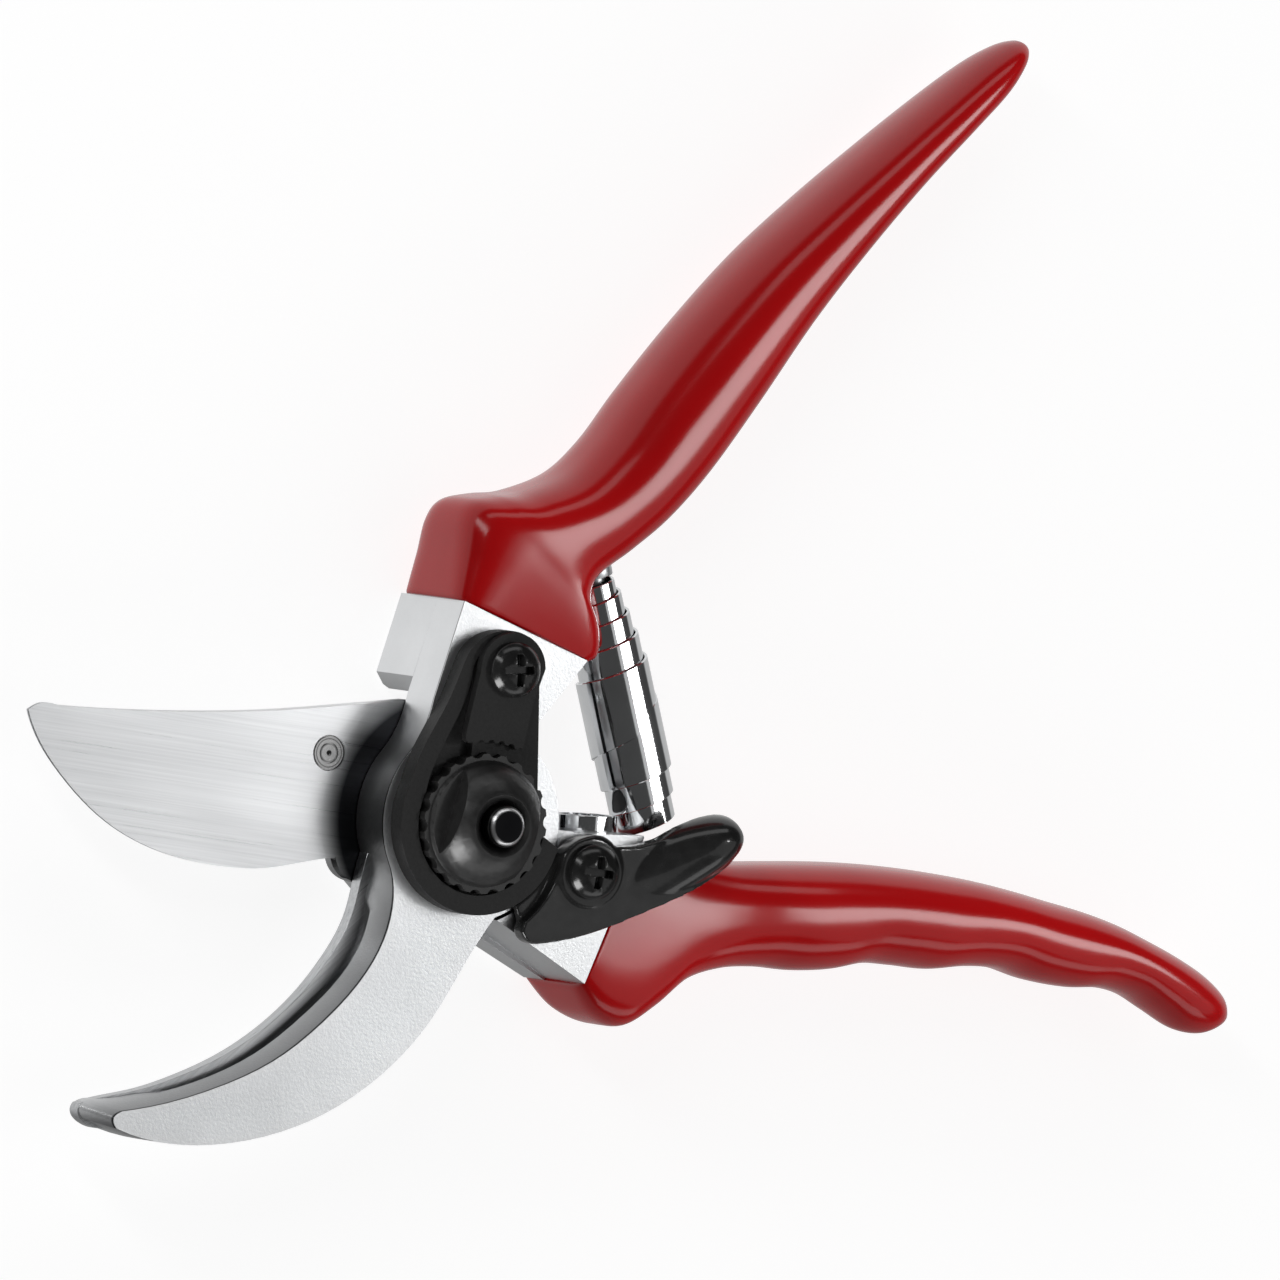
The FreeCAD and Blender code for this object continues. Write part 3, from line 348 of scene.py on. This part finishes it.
SLOTS = {
    "satin_aluminium": satin_aluminium(),
    "red_grip": red_grip(),
    "hook_aluminium_painted_shade": hook_aluminium_painted_shade(),
    "rivet_steel": rivet_steel(),
    "blade_steel": brushed_steel("blade_steel", HALF_OPEN_DEGREES,
                                 (0.72, 0.73, 0.74), (0.86, 0.87, 0.88), True),
    "counter_steel": brushed_steel("counter_steel", -HALF_OPEN_DEGREES,
                                   (0.42, 0.43, 0.44), (0.62, 0.63, 0.64)),
    "black_plate": black("black_plate", 0.38, 0.55, 1800.0, 0.5, 0.010),
    "black_nut": black("black_nut", 0.3, 0.42, 900.0, 0.12, 0.010, 0.0, 0.5),
    "black_screw": black("black_screw", 0.14, 0.24, 600.0, 0.03, 0.008, 0.0, 0.4),
    "black_latch": black("black_latch", 0.2, 0.28, 500.0, 0.03, 0.01, 0.4),
    "chrome": chrome(),
    "plain_steel": plain_steel(),
    "bolt_steel": bolt_steel(),
    "cushion_rubber": black("cushion_rubber", 0.5, 0.7, 900.0, 0.2, 0.03),
}

# pieces whose paint is a variant of their record slot's
OWN_PAINT = {
    "counter_blade": "counter_steel",
    "hook_frame": "hook_aluminium_painted_shade",
    "pivot_bolt": "bolt_steel",
    "blade_rivet": "rivet_steel",
}
slot_of = {row["node"]: row["material_slot"] for row in frame["record"]["subparts"]}
for name, obj in frame["nodes"].items():
    paint = SLOTS[OWN_PAINT.get(name, slot_of[name])]
    for index in range(len(obj.material_slots)):
        obj.material_slots[index].material = paint
    if not obj.material_slots:
        obj.data.materials.append(paint)


# ---------- crisp edges on the carried-over pieces ----------

WELD_REACH = 0.000004
FLAT_ANGLE = math.radians(0.6)
EDGE_ANGLE = math.radians(32.0)
LARGE_FACE_WEIGHT = 90


def crisp(name, width):
    """Welds the piece's mesh, clears its flat triangles and, given a width, breaks its sharp edges."""
    obj = frame["nodes"][name]
    weld = obj.modifiers.new("weld", "WELD")
    weld.merge_threshold = WELD_REACH
    flat = obj.modifiers.new("flat", "DECIMATE")
    flat.decimate_type = "DISSOLVE"
    flat.angle_limit = FLAT_ANGLE
    if width > 0:
        bevel = obj.modifiers.new("bevel", "BEVEL")
        bevel.width = width * MM
        bevel.segments = 2
        bevel.limit_method = "ANGLE"
        bevel.angle_limit = EDGE_ANGLE
    weighted = obj.modifiers.new("weighted", "WEIGHTED_NORMAL")
    weighted.mode = "FACE_AREA"
    weighted.weight = LARGE_FACE_WEIGHT


# width of the broken edges of each piece, millimetres
CRISP = {
    "hook_frame": 0.22,
    "blade_frame": 0.22,
    "counter_blade": 0.08,
    "cutting_blade": 0.0,
    "cover_plate": 0.15,
    "lock_segment": 0.18,
    "adjuster_nut": 0.15,
    "nut_washer": 0.05,
    "pivot_bolt": 0.2,
    "segment_screw": 0.12,
    "latch_screw": 0.12,
    "bumper_cup": 0.12,
    "bumper_cushion": 0.2,
    "upper_spring_seat": 0.15,
    "lower_spring_seat": 0.15,
}
for name, width in CRISP.items():
    crisp(name, width)


# ---------- moulded grips ----------

HALF_OPEN = math.radians(HALF_OPEN_DEGREES)
MID_Z = 10.5
RING_POINTS = 96
ROWS_PER_STATION = 8
LEAST_REACH = 0.05
LIP_R = 0.35
LIP_ANGLES = (0.0, 0.4, 0.8, 1.2)
LIP_INSET = 1.2
GRIP_SHARP = math.radians(50)

# (upper edge, lower edge, rise, drop, squareness), millimetres, with the half drawn shut
UPPER_GRIP = [
    ((18.0, 25.9), (28.9, 5.0), 9.1, 10.0, 7.0),
    ((22.6, 29.7), (30.6, 4.3), 9.5, 10.1, 5.2),
    ((26.4, 33.0), (32.1, 5.0), 9.8, 10.2, 4.2),
    ((29.4, 33.9), (33.5, 6.9), 10.0, 10.3, 3.6),
    ((32.8, 32.2), (34.8, 10.6), 10.2, 10.4, 3.1),
    ((37.2, 29.2), (37.9, 12.6), 10.3, 10.4, 2.8),
    ((44.6, 26.5), (44.6, 11.9), 10.4, 10.4, 2.5),
    ((52.0, 26.6), (52.0, 11.5), 10.5, 10.5, 2.4),
    ((61.0, 28.5), (61.0, 12.4), 10.5, 10.5, 2.4),
    ((73.0, 30.5), (73.0, 14.9), 10.5, 10.5, 2.3),
    ((87.0, 31.8), (87.0, 18.4), 10.2, 10.2, 2.3),
    ((100.0, 31.8), (100.0, 20.7), 9.6, 9.6, 2.3),
    ((113.0, 31.3), (113.0, 22.2), 8.7, 8.7, 2.2),
    ((124.0, 30.6), (124.0, 22.9), 7.7, 7.7, 2.2),
    ((132.0, 29.9), (132.0, 23.3), 6.5, 6.5, 2.1),
    ((136.8, 28.9), (136.8, 24.2), 4.8, 4.8, 2.0),
    ((139.2, 27.8), (139.2, 25.2), 2.7, 2.7, 2.0),
    ((139.9, 26.9), (139.9, 26.2), 0.8, 0.8, 2.0),
]
LOWER_GRIP = [
    ((28.0, 0.5), (22.0, -20.8), 8.7, 10.0, 7.0),
    ((31.4, -0.4), (26.2, -24.4), 8.7, 10.1, 5.0),
    ((35.4, -0.4), (31.2, -25.5), 8.7, 10.2, 3.9),
    ((38.8, -0.3), (35.7, -22.6), 8.7, 10.3, 3.2),
    ((42.6, -0.2), (40.6, -17.9), 8.75, 10.4, 2.8),
    ((47.0, 0.0), (46.6, -15.3), 9.2, 10.5, 2.5),
    ((53.0, 0.8), (52.6, -14.2), 10.0, 10.5, 2.4),
    ((59.0, 1.6), (58.8, -13.9), 10.5, 10.5, 2.4),
    ((64.5, 2.2), (64.5, -13.0), 10.5, 10.5, 2.4),
    ((70.0, 2.6), (70.0, -11.4), 10.4, 10.4, 2.3),
    ((75.5, 2.8), (75.5, -11.0), 10.3, 10.3, 2.3),
    ((81.0, 2.8), (81.0, -10.8), 10.1, 10.1, 2.3),
    ((87.0, 2.6), (87.0, -9.6), 9.9, 9.9, 2.3),
    ((93.0, 2.1), (92.6, -9.2), 9.6, 9.6, 2.3),
    ((99.0, 1.4), (98.4, -10.1), 9.3, 9.3, 2.3),
    ((105.0, 0.7), (104.4, -10.3), 8.9, 8.9, 2.3),
    ((110.5, -0.3), (110.0, -9.7), 8.4, 8.4, 2.2),
    ((115.5, -1.7), (115.0, -10.2), 7.9, 7.9, 2.2),
    ((121.0, -3.4), (119.6, -12.0), 7.2, 7.2, 2.2),
    ((126.2, -5.4), (123.9, -13.8), 6.2, 6.2, 2.1),
    ((130.0, -7.7), (127.6, -14.0), 4.7, 4.7, 2.0),
    ((131.5, -9.8), (130.4, -12.8), 2.5, 2.5, 2.0),
    ((131.8, -10.9), (131.5, -11.6), 0.8, 0.8, 2.0),
]


def flattened(station):
    """The station's values as one flat list."""
    top, bottom, rise, drop, power = station
    return [top[0], top[1], bottom[0], bottom[1], rise, drop, power]


def between(before, first, second, after, share):
    """Smooth value a share of the way from first to second, guided by their neighbours."""
    slope_a = (second - before) / 2
    slope_b = (after - first) / 2
    a = 2 * share ** 3 - 3 * share ** 2 + 1
    b = share ** 3 - 2 * share ** 2 + share
    c = share ** 3 - share ** 2
    return a * first + b * slope_a + (1 - a) * second + c * slope_b


def filled_rows(stations, count):
    """Stations with smooth rows filled in between them."""
    rows = [flattened(station) for station in stations]
    last = len(rows) - 1
    out = []
    for index in range(last):
        near = [rows[max(index - 1, 0)], rows[index], rows[index + 1], rows[min(index + 2, last)]]
        for part in range(count):
            out.append([between(*values, part / count) for values in zip(*near)])
    out.append(rows[-1])
    return out


def ring_points(row, inset):
    """Closed superellipse of a row, drawn in by inset."""
    top = Vector((row[0], row[1], MID_Z))
    bottom = Vector((row[2], row[3], MID_Z))
    middle = (top + bottom) / 2
    across = (top - bottom) / 2
    reach = max(across.length - inset, LEAST_REACH)
    across = across.normalized() * reach
    rise = max(row[4] - inset, LEAST_REACH)
    drop = max(row[5] - inset, LEAST_REACH)
    places = []
    for step in range(RING_POINTS):
        angle = 2 * math.pi * step / RING_POINTS
        c = math.cos(angle)
        s = math.sin(angle)
        u = math.copysign(abs(c) ** (2 / row[6]), c)
        w = math.copysign(abs(s) ** (2 / row[6]), s)
        places.append(middle + across * u + Vector((0, 0, (rise if w > 0 else drop) * w)))
    return places


def mesh_object(name, vertices, faces, turn=0.0):
    """New object from millimetre points, turned about the pivot, smooth shaded."""
    spin = Matrix.Rotation(turn, 3, "Z")
    mesh = bpy.data.meshes.new(name)
    mesh.from_pydata([(spin @ Vector(v)) * MM for v in vertices], [], faces)
    mesh.validate()
    for polygon in mesh.polygons:
        polygon.use_smooth = True
    obj = bpy.data.objects.new(name, mesh)
    bpy.context.scene.collection.objects.link(obj)
    return obj


def skin(rings):
    """Vertices and faces of a capped tube through closed rings of equal length."""
    count = len(rings[0])
    vertices = [point for ring in rings for point in ring]
    faces = []
    for index in range(len(rings) - 1):
        low = index * count
        for step in range(count):
            after = (step + 1) % count
            faces.append((low + step, low + after, low + count + after, low + count + step))
    faces.append(tuple(reversed(range(count))))
    first = (len(rings) - 1) * count
    faces.append(tuple(range(first, first + count)))
    return vertices, faces


def grip(name, stations, turn, body, node_name):
    """Moulded sleeve with a small rounded lip."""
    rows = filled_rows(stations, ROWS_PER_STATION)
    rings = [ring_points(row, 0.0) for row in rows]
    along = (Vector((rows[1][0] + rows[1][2], rows[1][1] + rows[1][3], 0))
             - Vector((rows[0][0] + rows[0][2], rows[0][1] + rows[0][3], 0))).normalized()
    start = [ring_points(rows[0], LIP_INSET)]
    for angle in LIP_ANGLES:
        ring = ring_points(rows[0], LIP_R * (1 - math.sin(angle)))
        start.append([point + along * LIP_R * (1 - math.cos(angle)) for point in ring])
    rings = start + rings[1:]
    vertices, faces = skin(rings)
    obj = mesh_object(name, vertices, faces, turn)
    obj.data.materials.append(SLOTS["red_grip"])
    obj.data.set_sharp_from_angle(angle=GRIP_SHARP)
    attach(obj, body)
    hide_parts(node_name)


grip("upper_grip_sleeve", UPPER_GRIP, HALF_OPEN, "hook_half", "upper_grip")
grip("lower_grip_sleeve", LOWER_GRIP, -HALF_OPEN, "blade_half", "lower_grip")


# ---------- double volute spring ----------

SPRING_TOP = Vector((31.8, 26.1, 10.5))
SPRING_BOTTOM = Vector((31.6, -11.5, 10.5))
SPRING_RADII = [2.7, 3.3, 3.9, 4.5, 5.05, 5.6, 5.1, 4.6, 4.1]
SPRING_STEPS = [0.0, 0.065, 0.145, 0.225, 0.32, 0.425, 0.69, 0.79, 0.89, 1.0]
SPRING_LAP = 1.1
SPRING_T = 0.42
SPRING_SOFT = 0.1
SPRING_START = 0.6
SPRING_SHARP = math.radians(35)
TURN_POINTS = 72


def volute_spring():
    """One strip wound into nested turns that step out to the middle band and in again."""
    axis = SPRING_BOTTOM - SPRING_TOP
    length = axis.length
    axis.normalize()
    side = axis.orthogonal().normalized()
    other = axis.cross(side)
    turns = len(SPRING_RADII)
    edges = [length * share for share in SPRING_STEPS]
    firsts = [max(edges[index] - (SPRING_LAP if index else 0.0), 0.0) for index in range(turns)]
    lasts = [min(edges[index + 1] + SPRING_LAP, length) for index in range(turns)]
    rings = []
    total = (turns - 1) * TURN_POINTS
    for step in range(total + 1):
        place = step / TURN_POINTS
        index = min(int(place), turns - 2)
        share = place - index
        radius = SPRING_RADII[index] * (1 - share) + SPRING_RADII[index + 1] * share
        first = firsts[index] * (1 - share) + firsts[index + 1] * share
        last = lasts[index] * (1 - share) + lasts[index + 1] * share
        angle = 2 * math.pi * place + SPRING_START
        out = side * math.cos(angle) + other * math.sin(angle)
        inner = radius - SPRING_T
        section = [
            (radius - SPRING_SOFT, first), (radius, first + SPRING_SOFT),
            (radius, last - SPRING_SOFT), (radius - SPRING_SOFT, last),
            (inner + SPRING_SOFT, last), (inner, last - SPRING_SOFT),
            (inner, first + SPRING_SOFT), (inner + SPRING_SOFT, first),
        ]
        rings.append([SPRING_TOP + out * r + axis * along for r, along in section])
    vertices, faces = skin(rings)
    obj = mesh_object("volute_spring_coil", vertices, faces)
    obj.data.set_sharp_from_angle(angle=SPRING_SHARP)
    obj.data.materials.append(SLOTS["chrome"])
    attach(obj, "hook_half")
    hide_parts("volute_spring")
    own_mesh(obj)


volute_spring()


# ---------- latch lever ----------

LATCH_VOXEL = 0.28 * MM
LATCH_RELAX_ROUNDS = 9


def latch_lever():
    """Moulded lever: the plain piece remeshed finely and relaxed so its lobe flows into its arm."""
    source = frame["nodes"]["latch_lever"]
    mesh = source.data.copy()
    obj = bpy.data.objects.new("latch_lever_moulding", mesh)
    bpy.context.scene.collection.objects.link(obj)
    remesh = obj.modifiers.new("remesh", "REMESH")
    remesh.mode = "VOXEL"
    remesh.voxel_size = LATCH_VOXEL
    relax = obj.modifiers.new("relax", "SMOOTH")
    relax.factor = 0.5
    relax.iterations = LATCH_RELAX_ROUNDS
    graph = bpy.context.evaluated_depsgraph_get()
    fine = bpy.data.meshes.new_from_object(obj.evaluated_get(graph))
    obj.modifiers.clear()
    obj.data = fine
    for polygon in fine.polygons:
        polygon.use_smooth = True
    fine.materials.clear()
    fine.materials.append(SLOTS["black_latch"])
    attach(obj, "latch")
    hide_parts("latch_lever")


latch_lever()


# ---------- floor, light and camera ----------

FLOOR_HALF = 3.0
FLOOR_DROP = 0.0002


def make_floor():
    """A wide pale floor just under the plane the shears rest on."""
    mesh = bpy.data.meshes.new("floor")
    corners = [(-FLOOR_HALF, -FLOOR_HALF, 0), (FLOOR_HALF, -FLOOR_HALF, 0),
               (FLOOR_HALF, FLOOR_HALF, 0), (-FLOOR_HALF, FLOOR_HALF, 0)]
    mesh.from_pydata(corners, [], [(0, 1, 2, 3)])
    floor = bpy.data.objects.new("floor", mesh)
    bpy.context.scene.collection.objects.link(floor)
    floor.location.z = -FLOOR_DROP
    mat, _, shader = new_material("floor")
    shader.inputs["Base Color"].default_value = (0.3, 0.3, 0.3, 1)
    shader.inputs["Roughness"].default_value = 0.9
    shader.inputs["Emission Color"].default_value = (1, 1, 1, 1)
    shader.inputs["Emission Strength"].default_value = 0.87
    mesh.materials.append(mat)
    floor.visible_glossy = False


def receivers(name, slots):
    """Collection of the pieces painted from these slots, for a light that reaches no others."""
    group = bpy.data.collections.new(name)
    paints = {SLOTS[slot].name for slot in slots}
    for obj in bpy.context.scene.objects:
        if obj.type == "MESH" and obj.data.materials and obj.data.materials[0].name in paints:
            group.objects.link(obj)
    return group


def area_light(name, place, target, width, height, power, group=None):
    """Rectangular light at a place, facing a target."""
    data = bpy.data.lights.new(name, "AREA")
    data.shape = "RECTANGLE"
    data.size = width
    data.size_y = height
    data.energy = power
    light = bpy.data.objects.new(name, data)
    light.location = place
    light.rotation_mode = "QUATERNION"
    light.rotation_quaternion = (Vector(target) - Vector(place)).to_track_quat("-Z", "Y")
    light.visible_camera = False
    if group:
        light.light_linking.receiver_collection = group
    bpy.context.scene.collection.objects.link(light)


FRAME_TURN = math.radians(-15.0)


def turned(vector):
    """A direction turned about Z with the shears."""
    return Matrix.Rotation(FRAME_TURN, 3, "Z") @ Vector(vector)


VIEW_RIGHT = turned((0.8684, 0.0175, 0.4957))
VIEW_UP = turned((0.0175, 0.9977, -0.0659))
VIEW_BACK = VIEW_RIGHT.cross(VIEW_UP)
FACE_LEVEL = 0.0191
VIEW_SPAN = 0.1803
VIEW_DISTANCE = 6.0
AIM_RIGHT = 0.02378
AIM_UP = 0.02563
SENSOR = 36.0


def make_camera():
    """Long lens from far off, aimed a little to the right of and above the pivot."""
    data = bpy.data.cameras.new("camera")
    camera = bpy.data.objects.new("camera", data)
    aim = Vector((0, 0, FACE_LEVEL)) + VIEW_RIGHT * AIM_RIGHT + VIEW_UP * AIM_UP
    data.lens = SENSOR * VIEW_DISTANCE / VIEW_SPAN
    data.sensor_width = SENSOR
    data.clip_start = 0.01
    data.clip_end = 30.0
    camera.location = aim + VIEW_BACK * VIEW_DISTANCE
    axes = Matrix((VIEW_RIGHT, VIEW_UP, VIEW_BACK)).transposed()
    camera.rotation_mode = "QUATERNION"
    camera.rotation_quaternion = axes.to_quaternion()
    bpy.context.scene.collection.objects.link(camera)
    bpy.context.scene.camera = camera


BELOW_GLOW = 0.85
BELOW_DARK = 0.2
ABOVE_GLOW = 0.07


def make_world():
    """Dim room above the horizon, a soft glow below it."""
    world = bpy.data.worlds.new("studio")
    bpy.context.scene.world = world
    world.use_nodes = True
    tree = world.node_tree
    back = tree.nodes["Background"]
    back.inputs["Color"].default_value = (1, 1, 1, 1)
    coord = tree.nodes.new("ShaderNodeTexCoord")
    split = tree.nodes.new("ShaderNodeSeparateXYZ")
    tree.links.new(coord.outputs["Generated"], split.inputs["Vector"])
    side = remap(tree, split.outputs["Y"], BELOW_DARK, BELOW_GLOW, -0.55, 0.15)
    height = remap(tree, split.outputs["Z"], 1.0, 0.0, -0.12, 0.02)
    scale = tree.nodes.new("ShaderNodeMath")
    scale.operation = "MULTIPLY_ADD"
    tree.links.new(side, scale.inputs[0])
    tree.links.new(height, scale.inputs[1])
    scale.inputs[2].default_value = ABOVE_GLOW
    tree.links.new(scale.outputs["Value"], back.inputs["Strength"])


make_floor()
make_world()
CENTRE = Vector((0.03, 0.01, 0.01))


def softbox(name, direction, distance, width, height, radiance, group=None):
    """Soft box of a given brightness, along a direction that is turned with the shears."""
    place = CENTRE + turned(direction).normalized() * distance
    power = radiance * math.pi * width * height
    area_light(name, place, CENTRE, width, height, power, group)


BLACKS = ["black_plate", "black_nut", "black_screw", "black_latch"]
SHINY = ["red_grip", "chrome"]
METALS = ["satin_aluminium", "hook_aluminium_painted_shade", "blade_steel", "counter_steel", "plain_steel"]
softbox("panel", (0.58, -0.28, 0.76), 1.25, 0.95, 1.4, 0.55)
softbox("window", (0.47, 0.03, 0.606), 0.767, 0.25, 0.5, 9.0, receivers("red_and_chrome", SHINY))
softbox("glow", (0.36, 0.06, 0.39), 0.534, 0.24, 0.30, 3.2, receivers("bare_metal", METALS))
softbox("spark", (0.52, 0.10, 0.80), 0.9, 0.05, 0.09, 40.0, receivers("black_parts", BLACKS))
softbox("rim", (-0.50, -0.55, 0.36), 0.8, 0.35, 0.5, 14.0, receivers("black_rims", BLACKS))
softbox("left", (-0.72, 0.60, 0.45), 0.9, 0.12, 0.9, 6.0)
softbox("far", (0.1, 0.95, 0.50), 1.0, 1.0, 0.3, 1.6)
softbox("near", (0.25, -0.95, 0.40), 1.0, 0.9, 0.35, 1.6)
make_camera()
bpy.context.scene.view_settings.view_transform = "Standard"
